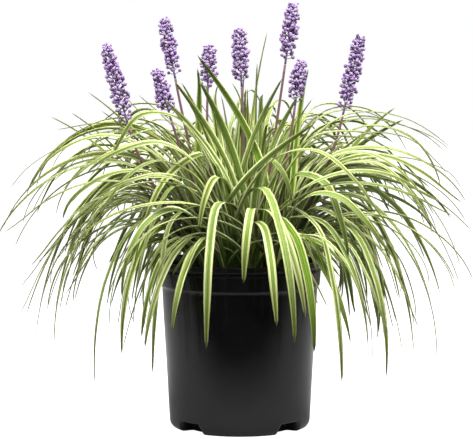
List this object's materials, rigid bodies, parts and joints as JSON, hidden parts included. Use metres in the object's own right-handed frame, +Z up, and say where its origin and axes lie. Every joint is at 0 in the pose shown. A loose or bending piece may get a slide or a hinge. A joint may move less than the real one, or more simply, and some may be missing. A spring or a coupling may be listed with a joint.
{
  "type": "potted variegated liriope",
  "caption": "Clump of arching striped grass-like leaves with upright lilac flower spikes, growing in a round tapered black nursery pot with a collar band.",
  "frame": {"origin": "middle of the pot's flat floor, on the surface that the pot stands on", "axes": "+Z up along the pot's axis, -Y towards the plant's front and +X to its right"},
  "size_m": [0.4831, 0.4149, 0.438],
  "materials": {
    "pot_plastic": "satin charcoal black moulded plastic",
    "soil": "dark brown crumbly potting mix, matt",
    "leaves": "satin green strap leaves with cream-yellow margins",
    "stalks": "smooth purple-brown flower stalks",
    "flowers": "soft lilac flower buds"
  },
  "bodies": {
    "root": {"pot": "pot_plastic", "potting_mix": "soil", "leaf_fan_01": "leaves", "leaf_fan_02": "leaves", "leaf_fan_03": "leaves", "leaf_fan_04": "leaves", "leaf_fan_05": "leaves", "leaf_fan_06": "leaves", "leaf_fan_07": "leaves", "leaf_fan_08": "leaves", "leaf_fan_09": "leaves", "leaf_fan_10": "leaves", "leaf_fan_11": "leaves", "leaf_fan_12": "leaves", "leaf_fan_13": "leaves", "leaf_fan_14": "leaves", "leaf_fan_15": "leaves", "leaf_fan_16": "leaves", "leaf_fan_17": "leaves", "leaf_fan_18": "leaves", "leaf_fan_19": "leaves", "leaf_fan_20": "leaves", "leaf_fan_21": "leaves", "leaf_fan_22": "leaves", "leaf_fan_23": "leaves", "leaf_fan_24": "leaves", "flower_stalk_1": "stalks", "flower_stalk_2": "stalks", "flower_stalk_3": "stalks", "flower_stalk_4": "stalks", "flower_stalk_5": "stalks", "flower_stalk_6": "stalks", "flower_stalk_7": "stalks", "flower_stalk_8": "stalks", "flower_spike_1": "flowers", "flower_spike_2": "flowers", "flower_spike_3": "flowers", "flower_spike_4": "flowers", "flower_spike_5": "flowers", "flower_spike_6": "flowers", "flower_spike_7": "flowers", "flower_spike_8": "flowers"}
  },
  "joints": []
}
